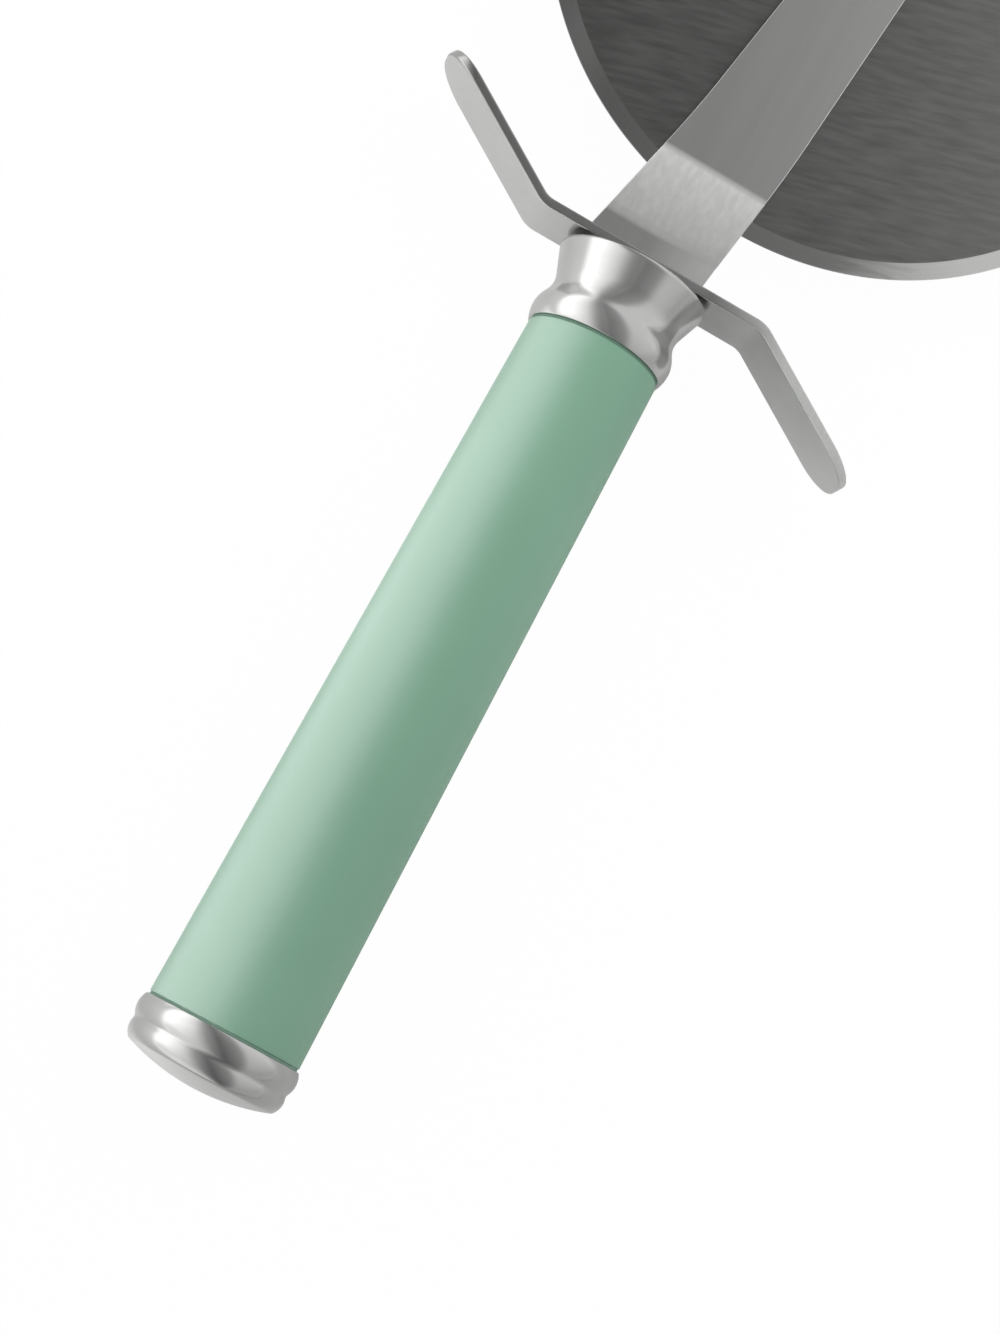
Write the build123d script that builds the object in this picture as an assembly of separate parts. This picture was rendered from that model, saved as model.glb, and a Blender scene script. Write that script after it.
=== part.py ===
from build123d import *
import math
import os

# Pizza wheel, in millimetres.
# X runs along the handle towards the blade, Z is square to the blade, Y points to the thumb's side.
# The origin is the middle of the grip, on the handle's axis.

# Fits
slip = 0.05              # gap all round a piece that is seated in another
running_gap = 0.05       # gap between the bush and its axle
end_play = 0.1           # room for the wheel on each side, along its axle

# Grip and its two seals
grip_length = 105.0
grip_rear_r = 11.1
grip_front_r = 9.95
grip_bore_r = 7.5
grip_edge_r = 0.3
seal_thick = 0.3
seal_inset = 0.15        # how far a seal lies below the grip's skin

# Ferrule, a waisted collar: heights against the grip's front, places from its rear end, angles in degrees
ferrule_length = 12.9
ferrule_wall = 1.4
ferrule_seam_rise = 0.2
ferrule_bulge_rise = 0.7
ferrule_bulge_at = 2.1
ferrule_bulge_r = 3.9
ferrule_slope = 28.0     # how steeply the bulge falls to the waist
ferrule_slope_length = 0.5
ferrule_waist_r = 4.0
ferrule_flare = 20.8     # how steeply the front opens after the waist
ferrule_rim_r = 0.6
ferrule_rim_gap = 0.65   # from the flared rim to the guard
ferrule_neck_drop = 0.95
insert_spigot = 10.0     # length of the ferrule insert inside the grip

# Finger guard, an S-bent strip
guard_thick = 1.4
guard_width = 12.0
guard_thumb_bend = 16.3
guard_finger_bend = 18.5
guard_wing_length = 24.7
guard_wing_angle = 32.0
guard_bend_r = 4.0
guard_tip_flat = 0.2     # width left at the end of a rounded tip

# Wheel
blade_r = 50.0
blade_thick = 1.0
blade_edge_thick = 0.3
blade_bevel = 2.35
blade_gap = 11.3         # from the guard to the blade's rim
axle_offset = 9.0        # how far the axle lies to the finger's side
axle_r = 3.0
bush_wall = 1.5
bush_flange = 2.6
bush_flange_thick = 0.8

# Axle pieces
spacer_thick = 1.0
spacer_r = 6.2
thrust_thick = 0.8
thrust_r = 6.4
rivet_head_r = 6.0
rivet_head_edge = 0.4
rivet_head_dome = 1.3
formed_head_r = 4.6
formed_head_edge = 0.3
formed_head_dome = 1.0

# Arm
arm_thick = 2.0
arm_base_thumb = 9.35
arm_base_finger = 8.7
arm_waist_at = 22.5      # from the guard to where the edges change direction
arm_waist_thumb = 3.95
arm_waist_finger = 11.9
arm_waist_r = 150.0
arm_end_r = 6.5
joggle_lead = 6.1        # how far before the blade's rim the joggle starts
joggle_run = 10.8
joggle_bend_r = 4.0

# Tang, forked tie rod and their pins
tang_width = 8.0
fork_margin = 0.3
fork_grip = 20.0         # length of tang held in the fork
fork_root = 6.0
fork_gap = 3.8           # from the fork to the ferrule insert
rod_r = 2.5
pin_r = 1.2
pin_inset = 5.0
pin_recess = 0.4         # how far a pin's ends lie below the fork's skin

# Core
core_wall = 1.1
core_rib_thick = 1.4
core_rib_count = 6
core_disc_thick = 2.0
core_disc_count = 4

# Rear plug and what tightens the rod
plug_spigot = 8.0
plug_flange_thick = 2.8
plug_pocket_depth = 4.8
rod_washer_lip = 0.5
rod_washer_thick = 0.8
spring_washer_thick = 1.0
spring_washer_wall = 1.4
spring_washer_gap = 1.0
nut_across = 8.0
nut_thick = 4.0
rod_proud = 1.0

# End cap: radii against the grip's rear, places from its open rim
cap_length = 8.15
cap_wall = 1.6
cap_rim_rise = 0.2
cap_bead_rise = 0.66
cap_bead_at = 1.4
cap_groove_rise = 0.1
cap_groove_at = 3.45
cap_second_rise = 0.3
cap_second_at = 4.7
cap_dome_drop = 0.5
cap_dome_rise = 1.85
cap_ring_wire_r = 0.5
cap_ring_gap = 2.0

# Places along the handle
grip_rear_x = -grip_length / 2
grip_front_x = grip_length / 2
ferrule_rear_x = grip_front_x + seal_thick
guard_rear_x = ferrule_rear_x + ferrule_length
guard_front_x = guard_rear_x + guard_thick
spigot_end_x = grip_front_x - insert_spigot
fork_front_x = spigot_end_x - fork_gap
tang_end_x = fork_front_x - fork_grip
fork_rear_x = tang_end_x - slip - fork_root
plug_front_x = grip_rear_x + plug_spigot
plug_rear_x = grip_rear_x - plug_flange_thick
pocket_x = plug_rear_x + plug_pocket_depth
spring_x = pocket_x - rod_washer_thick
nut_x = spring_x - spring_washer_thick
rod_end_x = nut_x - nut_thick - rod_proud
cap_rim_x = grip_rear_x - seal_thick
cap_pole_x = cap_rim_x - cap_length

# Radii that follow from the sizes above
slope_turn = math.radians(ferrule_slope)
ferrule_waist_drop = ((ferrule_bulge_r + ferrule_waist_r) * (1 - math.cos(slope_turn))
                      + ferrule_slope_length * math.sin(slope_turn) - ferrule_bulge_rise)
ferrule_bore_r = grip_front_r - ferrule_waist_drop - ferrule_wall
cap_cavity_r = grip_rear_r + cap_groove_rise - cap_wall
fork_r = tang_width / 2 + fork_margin
core_r = grip_bore_r - slip
core_tube_r = fork_r + slip + core_wall
nut_corner_r = nut_across / math.sqrt(3)
rod_washer_r = nut_corner_r + rod_washer_lip
bush_bore_r = axle_r + running_gap
bush_r = bush_bore_r + bush_wall

# Places at the axle
axle_x = guard_front_x + blade_gap + blade_r
axle_y = -axle_offset
bush_low_z = -blade_thick / 2 - bush_flange_thick
thrust_top_z = bush_low_z - end_play
thrust_low_z = thrust_top_z - thrust_thick
spacer_low_z = blade_thick / 2 + end_play
arm_low_z = spacer_low_z + spacer_thick
arm_top_z = arm_low_z + arm_thick
arm_rise = arm_low_z + arm_thick / 2
joggle_start_x = guard_front_x + blade_gap - joggle_lead


def collar(x_from, x_to, inner_r, outer_r):
    """A plain ring round the handle's axis."""
    section = Pos((x_from + x_to) / 2, (inner_r + outer_r) / 2) * Rectangle(x_to - x_from, outer_r - inner_r)
    return revolve(section, Axis.X)


def bar(x_from, x_to, r):
    """A plain round bar on the handle's axis."""
    return Pos((x_from + x_to) / 2, 0, 0) * Rot(0, 90, 0) * Cylinder(r, x_to - x_from)


def plate(z_from, z_to, inner_r, outer_r):
    """A plain washer on the axle."""
    body = Cylinder(outer_r, z_to - z_from) - Cylinder(inner_r, z_to - z_from)
    return Pos(axle_x, axle_y, (z_from + z_to) / 2) * body


def dome_radius(reach, rise):
    """Radius of the ball whose cap has this reach and rise."""
    return (reach**2 + rise**2) / (2 * rise)


def dome_sweep(reach, rise):
    """Angle from the pole to the edge of such a cap, in degrees."""
    return math.degrees(math.asin(reach / dome_radius(reach, rise)))


def tang_slot():
    """The way through a piece for the tang."""
    length = guard_front_x - tang_end_x
    hollow = Box(length, tang_width + 2 * slip, arm_thick + 2 * slip)
    return Pos((guard_front_x + tang_end_x) / 2, 0, 0) * hollow


def ring_wire(wire_r):
    """The round of the cap's snap ring, in the plug and the cap."""
    return Pos(grip_rear_x - plug_flange_thick / 2, 0, 0) * Rot(0, 90, 0) * Torus(cap_cavity_r, wire_r)


def make_blade():
    """Flat disc, ground from both sides to a thin rim."""
    face_z = blade_thick / 2
    edge_z = blade_edge_thick / 2
    hole_r = bush_r + slip
    section = make_face(Polyline(
        (hole_r, -face_z), (blade_r - blade_bevel, -face_z), (blade_r, -edge_z), (blade_r, edge_z),
        (blade_r - blade_bevel, face_z), (hole_r, face_z), close=True))
    return Pos(axle_x, axle_y, 0) * revolve(Plane.XZ * section, Axis.Z)


def make_hub_bush():
    """Bush flush with the blade's top, with a flange below it."""
    barrel = plate(-blade_thick / 2, blade_thick / 2, bush_bore_r, bush_r)
    return barrel + plate(bush_low_z, -blade_thick / 2, bush_bore_r, bush_r + bush_flange)


def make_axle_rivet():
    """Shank with a domed head below the wheel and a smaller one formed over on the arm."""
    head_z = thrust_low_z - rivet_head_edge
    pole_z = head_z - rivet_head_dome
    formed_z = arm_top_z + formed_head_edge
    formed_pole_z = formed_z + formed_head_dome
    lower = JernArc((0, pole_z), (1, 0), dome_radius(rivet_head_r, rivet_head_dome),
                    dome_sweep(rivet_head_r, rivet_head_dome))
    side = Polyline(
        lower @ 1, (rivet_head_r, thrust_low_z), (axle_r, thrust_low_z), (axle_r, arm_top_z),
        (formed_head_r, arm_top_z), (formed_head_r, formed_z))
    upper = JernArc((0, formed_pole_z), (1, 0), dome_radius(formed_head_r, formed_head_dome),
                    -dome_sweep(formed_head_r, formed_head_dome))
    section = make_face([lower, side, upper, Line((0, formed_pole_z), (0, pole_z))])
    return Pos(axle_x, axle_y, 0) * revolve(Plane.XZ * section, Axis.Z)


def make_spacer_washer():
    return plate(spacer_low_z, arm_low_z, axle_r + slip, spacer_r)


def make_thrust_washer():
    return plate(thrust_low_z, thrust_top_z, axle_r + slip, thrust_r)


def edge_to_end(start, side):
    """Where the arm's edge from a point touches its round end, on the thumb's side (1) or the finger's (-1)."""
    across = (axle_x - start[0], axle_y - start[1])
    distance = math.hypot(*across)
    heading = math.atan2(across[1], across[0]) + side * math.asin(arm_end_r / distance)
    reach = math.sqrt(distance**2 - arm_end_r**2)
    return (start[0] + reach * math.cos(heading), start[1] + reach * math.sin(heading))


def make_arm():
    """Tapered plate with a tang, joggled up to pass over the blade."""
    waist_x = guard_front_x + arm_waist_at
    thumb_waist = (waist_x, arm_waist_thumb)
    finger_waist = (waist_x, -arm_waist_finger)
    thumb_touch = edge_to_end(thumb_waist, 1)
    finger_touch = edge_to_end(finger_waist, -1)
    edges = Polyline(
        thumb_touch, thumb_waist, (guard_front_x, arm_base_thumb), (guard_front_x, tang_width / 2),
        (tang_end_x, tang_width / 2), (tang_end_x, -tang_width / 2), (guard_front_x, -tang_width / 2),
        (guard_front_x, -arm_base_finger), finger_waist, finger_touch)
    heading = math.atan2(axle_y + arm_waist_finger, axle_x - waist_x)
    nose = (axle_x + arm_end_r * math.cos(heading), axle_y + arm_end_r * math.sin(heading))
    outline = make_face([edges, ThreePointArc(thumb_touch, nose, finger_touch)])
    waists = [v for v in outline.vertices() if abs(v.X - waist_x) < slip]
    outline = fillet(waists, arm_waist_r)
    far_x = axle_x + 2 * arm_end_r
    middle = FilletPolyline(
        (tang_end_x, 0), (joggle_start_x, 0), (joggle_start_x + joggle_run, arm_rise), (far_x, arm_rise),
        radius=joggle_bend_r)
    half_span = arm_base_thumb + arm_base_finger + axle_offset + arm_end_r
    bent = extrude(Plane.XZ * trace(middle, arm_thick), half_span, both=True)
    arm = bent & extrude(outline, 2 * arm_top_z, both=True)
    arm -= Pos(axle_x, axle_y, arm_rise) * Cylinder(axle_r + slip, 2 * arm_thick)
    for x in pin_places():
        arm -= Pos(x, 0, 0) * Cylinder(pin_r + slip, 2 * arm_thick)
    return arm


def make_finger_guard():
    """Strip bent both ways, round at both tips, slotted for the tang."""
    middle_x = guard_rear_x + guard_thick / 2
    turn = math.radians(guard_wing_angle)
    back = guard_wing_length * math.sin(turn)
    out = guard_wing_length * math.cos(turn)
    finger_tip = (middle_x - back, -guard_finger_bend - out)
    thumb_tip = (middle_x + back, guard_thumb_bend + out)
    line = FilletPolyline(
        finger_tip, (middle_x, -guard_finger_bend), (middle_x, guard_thumb_bend), thumb_tip,
        radius=guard_bend_r)
    strip = extrude(trace(line, guard_thick), guard_width / 2, both=True)
    corners = [
        edge for edge in strip.edges() for tip in (finger_tip, thumb_tip)
        if math.dist((edge.center().X, edge.center().Y), tip) < slip
        and abs(edge.center().Z) > guard_width / 4]
    return fillet(corners, (guard_width - guard_tip_flat) / 2) - tang_slot()


def make_ferrule():
    """Waisted collar that opens to a rounded rim, with a narrow neck against the guard."""
    crest = (ferrule_rear_x + ferrule_bulge_at, grip_front_r + ferrule_bulge_rise)
    rise = ferrule_bulge_rise - ferrule_seam_rise
    rear = JernArc(crest, (-1, 0), dome_radius(ferrule_bulge_at, rise), dome_sweep(ferrule_bulge_at, rise))
    front = JernArc(crest, (1, 0), ferrule_bulge_r, -ferrule_slope)
    slope = Line(front @ 1, front @ 1 + front % 1 * ferrule_slope_length)
    waist = JernArc(slope @ 1, front % 1, ferrule_waist_r, ferrule_slope + ferrule_flare)
    opening = waist @ 1
    rim_x = guard_rear_x - ferrule_rim_gap
    rim = (rim_x, opening.Y + (rim_x - opening.X) * math.tan(math.radians(ferrule_flare)))
    neck_r = grip_front_r - ferrule_neck_drop
    inside = Polyline(
        opening, rim, (rim_x, neck_r), (guard_rear_x, neck_r), (guard_rear_x, ferrule_bore_r),
        (ferrule_rear_x, ferrule_bore_r), rear @ 1)
    section = make_face([rear, front, slope, waist, inside])
    corner = [v for v in section.vertices() if math.dist((v.X, v.Y), rim) < slip]
    return revolve(fillet(corner, ferrule_rim_r), Axis.X)


def make_ferrule_insert():
    """Plug that fills the ferrule and reaches into the grip."""
    head = bar(ferrule_rear_x, guard_rear_x, ferrule_bore_r - slip)
    return head + bar(spigot_end_x, ferrule_rear_x, core_r) - tang_slot()


def make_front_seal():
    return collar(grip_front_x, ferrule_rear_x, grip_bore_r, grip_front_r - seal_inset)


def make_handle_grip():
    """Tapered sleeve with a straight bore."""
    section = make_face(Polyline(
        (grip_rear_x, grip_bore_r), (grip_rear_x, grip_rear_r), (grip_front_x, grip_front_r),
        (grip_front_x, grip_bore_r), close=True))
    rims = [v for v in section.vertices() if v.Y > (grip_bore_r + grip_front_r) / 2]
    return revolve(fillet(rims, grip_edge_r), Axis.X)


def make_handle_core():
    """Tube with ribs and discs that fill the grip's bore."""
    core = bar(plug_front_x, spigot_end_x, core_tube_r)
    length = spigot_end_x - plug_front_x
    middle_x = (plug_front_x + spigot_end_x) / 2
    pitch = (length - core_disc_thick) / (core_disc_count - 1)
    for place in range(core_disc_count):
        disc_x = plug_front_x + place * pitch
        core += bar(disc_x, disc_x + core_disc_thick, core_r)
    blades = [
        Pos(middle_x, 0, 0) * Rot(180 * place / (core_rib_count / 2), 0, 0) * Box(length, 2 * core_r, core_rib_thick)
        for place in range(core_rib_count // 2)]
    core += Part() + blades & bar(plug_front_x, spigot_end_x, core_r)
    core -= bar(plug_front_x, spigot_end_x, rod_r + slip)
    return core - bar(fork_rear_x - slip, spigot_end_x, fork_r + slip)


def pin_places():
    return (tang_end_x + pin_inset, fork_front_x - pin_inset)


def make_tie_rod():
    """Round rod with a slotted fork for the tang."""
    fork = bar(fork_rear_x, fork_front_x, fork_r)
    slot_length = fork_front_x - tang_end_x + slip
    slot = Box(slot_length, 2 * fork_r, arm_thick + 2 * slip)
    fork -= Pos(fork_front_x - slot_length / 2, 0, 0) * slot
    for x in pin_places():
        fork -= Pos(x, 0, 0) * Cylinder(pin_r + slip, 2 * fork_r)
    return fork + bar(rod_end_x, fork_rear_x, rod_r)


def make_tang_pins():
    """Two pins through the fork and the tang."""
    length = 2 * (fork_r - pin_recess)
    return Part(children=[Pos(x, 0, 0) * Cylinder(pin_r, length) for x in pin_places()])


def make_rear_seal():
    return collar(cap_rim_x, grip_rear_x, cap_cavity_r, grip_rear_r - seal_inset)


def make_rear_plug():
    """Plug in the grip's rear end, with a pocket for the nut and a groove for the snap ring."""
    plug = bar(grip_rear_x, plug_front_x, core_r)
    plug += bar(plug_rear_x, grip_rear_x, cap_cavity_r - slip)
    plug -= bar(plug_rear_x, plug_front_x, rod_r + slip)
    plug -= bar(plug_rear_x, pocket_x, rod_washer_r + slip)
    return plug - ring_wire(cap_ring_wire_r + slip)


def make_rod_washer():
    return collar(spring_x, pocket_x, rod_r + slip, rod_washer_r)


def make_spring_washer():
    """Split washer, pressed flat."""
    outer_r = rod_r + slip + spring_washer_wall
    washer = collar(nut_x, spring_x, rod_r + slip, outer_r)
    split = Box(spring_washer_thick * 2, spring_washer_gap, outer_r)
    return washer - Pos((nut_x + spring_x) / 2, 0, outer_r / 2) * split


def make_rod_nut():
    """Hexagon nut, chamfered by a cone at its outer end."""
    hexagon = extrude(Plane.YZ * RegularPolygon(nut_corner_r, 6), nut_thick)
    nut = Pos(nut_x - nut_thick, 0, 0) * hexagon
    crown_x = nut_x - nut_thick
    crown = nut_corner_r - nut_across / 2
    envelope = revolve(make_face(Polyline(
        (crown_x, 0), (crown_x, nut_across / 2), (crown_x + crown, nut_corner_r + slip),
        (nut_x, nut_corner_r + slip), (nut_x, 0), close=True)), Axis.X)
    return nut & envelope - bar(crown_x, nut_x, rod_r + slip)


def make_cap_ring():
    """Split wire ring."""
    split = Box(4 * cap_ring_wire_r, cap_ring_gap, 2 * cap_cavity_r)
    return ring_wire(cap_ring_wire_r) - Pos(grip_rear_x - plug_flange_thick / 2, 0, -cap_cavity_r) * split


def make_end_cap():
    """Turned shell with two beads and a low dome."""
    groove = (cap_rim_x - cap_groove_at, grip_rear_r + cap_groove_rise)
    shoulder_r = grip_rear_r - cap_dome_drop
    ball_r = dome_radius(shoulder_r, cap_dome_rise)
    inner_ball_r = ball_r - cap_wall
    bead = ThreePointArc(
        (cap_rim_x, grip_rear_r + cap_rim_rise), (cap_rim_x - cap_bead_at, grip_rear_r + cap_bead_rise), groove)
    second = ThreePointArc(
        groove, (cap_rim_x - cap_second_at, grip_rear_r + cap_second_rise),
        (cap_pole_x + cap_dome_rise, shoulder_r))
    dome = JernArc((cap_pole_x, 0), (0, 1), ball_r, -dome_sweep(shoulder_r, cap_dome_rise))
    inner_pole_x = cap_pole_x + cap_wall
    inner_sweep = math.degrees(math.asin(cap_cavity_r / inner_ball_r))
    inner_dome = JernArc((inner_pole_x, 0), (0, 1), inner_ball_r, -inner_sweep)
    inside = Polyline(inner_dome @ 1, (cap_rim_x, cap_cavity_r), bead @ 0)
    axis_line = Line(dome @ 0, inner_dome @ 0)
    shell = revolve(make_face([bead, second, dome, axis_line, inner_dome, inside]), Axis.X)
    return shell - ring_wire(cap_ring_wire_r + slip)


pieces = {
    "blade": make_blade(),
    "hub_bush": make_hub_bush(),
    "axle_rivet": make_axle_rivet(),
    "spacer_washer": make_spacer_washer(),
    "thrust_washer": make_thrust_washer(),
    "arm": make_arm(),
    "finger_guard": make_finger_guard(),
    "ferrule": make_ferrule(),
    "ferrule_insert": make_ferrule_insert(),
    "front_seal": make_front_seal(),
    "handle_grip": make_handle_grip(),
    "handle_core": make_handle_core(),
    "tie_rod": make_tie_rod(),
    "tang_pins": make_tang_pins(),
    "rear_seal": make_rear_seal(),
    "rear_plug": make_rear_plug(),
    "rod_washer": make_rod_washer(),
    "spring_washer": make_spring_washer(),
    "rod_nut": make_rod_nut(),
    "cap_ring": make_cap_ring(),
    "end_cap": make_end_cap(),
}

os.makedirs("parts", exist_ok=True)
for name, piece in pieces.items():
    piece.label = name
    export_step(piece, f"parts/{name}.step")
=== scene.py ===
import bmesh
import bpy
import math
from mathutils import Matrix, Vector


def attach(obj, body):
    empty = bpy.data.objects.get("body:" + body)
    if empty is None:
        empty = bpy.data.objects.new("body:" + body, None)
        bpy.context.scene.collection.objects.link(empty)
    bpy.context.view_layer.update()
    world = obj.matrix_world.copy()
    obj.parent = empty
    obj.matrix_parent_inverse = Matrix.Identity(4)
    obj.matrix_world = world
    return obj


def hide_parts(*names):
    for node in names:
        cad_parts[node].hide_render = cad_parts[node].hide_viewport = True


# Pizza wheel: a bevelled wheel on a cranked arm, an S-bent finger guard, and a green grip
# between a polished ferrule and a polished end cap.
# Sizes are in millimetres, as in the part's source, and MM turns them to metres.
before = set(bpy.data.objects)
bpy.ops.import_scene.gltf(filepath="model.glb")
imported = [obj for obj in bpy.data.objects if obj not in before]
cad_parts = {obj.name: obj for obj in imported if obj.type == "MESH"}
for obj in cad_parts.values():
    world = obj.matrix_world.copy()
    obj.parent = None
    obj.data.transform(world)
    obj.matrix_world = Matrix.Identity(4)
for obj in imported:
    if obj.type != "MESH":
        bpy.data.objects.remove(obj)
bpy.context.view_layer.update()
MM = 0.001

# Handle, along X
SLIP = 0.05
GRIP_REAR_X, GRIP_FRONT_X = -52.5, 52.5
GRIP_REAR_R, GRIP_FRONT_R, GRIP_BORE_R = 11.1, 9.95, 7.5
GRIP_EDGE_R = 0.3
SEAL_THICK, SEAL_INSET, SEAL_EDGE = 0.3, 0.15, 0.06
FERRULE_REAR_X = GRIP_FRONT_X + SEAL_THICK
FERRULE_LENGTH = 12.9
FERRULE_WALL = 1.4
SEAM_RISE, SEAM_EDGE = 0.2, 0.08
BULGE_AT, BULGE_RISE, BULGE_R = 2.1, 0.7, 3.9
SLOPE, SLOPE_LENGTH = math.radians(28), 0.5
WAIST_R, FLARE = 4.0, math.radians(20.8)
RIM_R, RIM_GAP, NECK_DROP = 0.6, 0.65, 0.95
CAP_RIM_X = GRIP_REAR_X - SEAL_THICK
CAP_POLE_X = CAP_RIM_X - 8.15
CAP_WALL, CAP_CAVITY_R = 1.6, 9.6
CAP_RIM_RISE = 0.2
BEAD_AT, BEAD_RISE = 1.4, 0.66
GROOVE_AT, GROOVE_RISE, GROOVE_ROUND = 3.45, 0.1, 0.3
SECOND_AT, SECOND_RISE = 4.7, 0.3
DOME_DROP, DOME_RISE = 0.5, 1.85
SNAP_RING_X, SNAP_RING_R = -53.9, 0.55

# Finger guard
GUARD_THICK, GUARD_WIDTH, GUARD_EDGE = 1.4, 12.0, 0.28
GUARD_REAR_X = FERRULE_REAR_X + FERRULE_LENGTH
GUARD_FRONT_X = GUARD_REAR_X + GUARD_THICK
THUMB_BEND, FINGER_BEND = 16.3, 18.5
WING_LENGTH, WING_ANGLE, WING_BEND_R = 24.7, math.radians(32), 4.0
TIP_FLAT = 0.2

# Arm and its tang
ARM_THICK, ARM_EDGE = 2.0, 0.5
ARM_BASE_THUMB, ARM_BASE_FINGER = 9.35, 8.7
ARM_WAIST_X = GUARD_FRONT_X + 22.5
ARM_WAIST_THUMB, ARM_WAIST_FINGER, ARM_WAIST_R = 3.95, 11.9, 150.0
ARM_END_R = 6.5
ARM_RISE = 2.6
JOGGLE_X, JOGGLE_RUN, JOGGLE_BEND_R = 72.3, 10.8, 4.0
JOGGLE_END_X = JOGGLE_X + JOGGLE_RUN
TANG_WIDTH, TANG_END_X = 8.0, 18.7
PIN_PLACES, PIN_R = (23.7, 33.7), 1.2
DRILL_DEPTH = 20

# Wheel and axle, along Z
AXLE_X, AXLE_Y, AXLE_R = 128.4, -9.0, 3.0
AXLE_FOOT = (AXLE_X * MM, AXLE_Y * MM, 0)
BLADE_R, BLADE_BEVEL, BLADE_FACE_Z, BLADE_EDGE_Z = 50.0, 2.35, 0.5, 0.15
BLADE_FACE_R = BLADE_R - BLADE_BEVEL
BUSH_BORE_R, BUSH_R, BUSH_FLANGE_R, BUSH_LOW_Z, BUSH_EDGE = 3.05, 4.55, 7.15, -1.3, 0.2
SPACER_LOW_Z, SPACER_TOP_Z, SPACER_R = 0.6, 1.6, 6.2
THRUST_LOW_Z, THRUST_TOP_Z, THRUST_R = -2.2, -1.4, 6.4
WASHER_EDGE = 0.12
ARM_TOP_Z = 3.6
HEAD_R, HEAD_EDGE, HEAD_DOME = 6.0, 0.4, 1.3
FORMED_R, FORMED_EDGE, FORMED_DOME = 4.6, 0.3, 1.0
RIVET_EDGE = 0.15

# How finely pieces are drawn: steps of their rounds, the ring at a dome's pole, what counts as near and as
# the same place, and the angles in degrees below which edges are smooth and above which they are tumbled
HANDLE_STEPS, SEAL_STEPS, BLADE_STEPS, AXLE_STEPS, DRILL_STEPS = 160, 128, 288, 96, 64
ARM_END_STEPS, ARM_WAIST_STEPS, WING_STEPS, TIP_STEPS = 48, 8, 8, 20
POLE_R = 0.2
NEAR, SAME = 0.01, 0.002
SMOOTH_BELOW, SHARP_ABOVE = 30, 50

# What it lies on: the end cap's first bead and the ferrule's rim touch the floor, which is 60 metres wide
FLOOR_UP, FLOOR_DEPTH, FLOOR_SIZE = Vector((-0.0046, 0, 1)), 11.53, 60


def begin(name, primitive, scale=(1, 1, 1), **settings):
    """Adds a primitive with nothing else selected, keeps its place in its mesh, and opens it."""
    bpy.ops.object.select_all(action="DESELECT")
    primitive(**settings)
    piece = bpy.context.object
    piece.name = name
    piece.data.name = name
    piece.scale = scale
    bpy.ops.object.transform_apply(location=True, rotation=True, scale=True)
    bpy.ops.object.mode_set(mode="EDIT")
    bpy.ops.mesh.select_all(action="SELECT")
    return piece


def pick(piece, level, wanted):
    """Selects the vertices, edges or faces that have every corner where it is wanted, in millimetres."""
    bpy.ops.mesh.select_mode(type=level)
    bpy.ops.mesh.select_all(action="DESELECT")
    shape = bmesh.from_edit_mesh(piece.data)
    for item in {"VERT": shape.verts, "EDGE": shape.edges, "FACE": shape.faces}[level]:
        corners = [item] if level == "VERT" else item.verts
        if all(wanted(corner.co / MM) for corner in corners):
            item.select_set(True)
    bmesh.update_edit_mesh(piece.data)


def close(piece, smooth_below=SMOOTH_BELOW):
    """Joins what meets, points the faces outwards, and smooths all edges below an angle in degrees."""
    bpy.ops.mesh.select_mode(type="VERT")
    bpy.ops.mesh.select_all(action="SELECT")
    bpy.ops.mesh.remove_doubles(threshold=SAME * MM)
    bpy.ops.mesh.normals_make_consistent(inside=False)
    bpy.ops.object.mode_set(mode="OBJECT")
    bpy.ops.object.shade_smooth_by_angle(angle=math.radians(smooth_below))
    return piece


def apply_modifier(piece, kind, **settings):
    """Adds a modifier to a piece, sets it and applies it."""
    bpy.ops.object.select_all(action="DESELECT")
    piece.select_set(True)
    bpy.context.view_layer.objects.active = piece
    bpy.ops.object.modifier_add(type=kind)
    modifier = piece.modifiers[-1]
    for key, value in settings.items():
        setattr(modifier, key, value)
    bpy.ops.object.modifier_apply(modifier=modifier.name)


def thicken(piece, thick):
    """Gives a sheet its thickness, half to each side."""
    apply_modifier(piece, "SOLIDIFY", thickness=thick * MM, offset=0, use_even_offset=True)


def tumble(piece, size):
    """Rounds every sharp edge of a stamped piece, and keeps its flats flat to the eye."""
    apply_modifier(piece, "BEVEL", width=size * MM, segments=4, limit_method="ANGLE",
                   angle_limit=math.radians(SHARP_ABOVE))
    bpy.ops.object.shade_smooth_by_angle(angle=math.radians(SMOOTH_BELOW))
    apply_modifier(piece, "WEIGHTED_NORMAL", keep_sharp=True)
    return piece


def turned(name, profile, steps, upright=False):
    """Turns a profile of (place, radius) stations, by drawing a ring out and resizing it to the next."""
    def centre(place):
        return Vector((AXLE_X, AXLE_Y, place) if upright else (place, 0, 0)) * MM

    place, radius = profile[0]
    piece = begin(
        name, bpy.ops.mesh.primitive_circle_add, vertices=steps, radius=radius * MM,
        location=centre(place), rotation=(0, 0 if upright else math.pi / 2, 0))
    for next_place, next_radius in profile[1:]:
        step = centre(next_place) - centre(place)
        bpy.ops.mesh.extrude_region_move(TRANSFORM_OT_translate={"value": step})
        grow = next_radius / radius
        across = (grow, grow, 1) if upright else (1, grow, grow)
        bpy.ops.transform.resize(value=across, center_override=centre(next_place))
        place, radius = next_place, next_radius
    return piece


def on_ring(place, radius, upright=False):
    """A test for corners that lie on one ring of a turned piece."""
    def near(corner):
        if upright:
            along, out = corner.z, math.hypot(corner.x - AXLE_X, corner.y - AXLE_Y)
        else:
            along, out = corner.x, math.hypot(corner.y, corner.z)
        return abs(along - place) < NEAR and abs(out - radius) < NEAR
    return near


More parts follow.
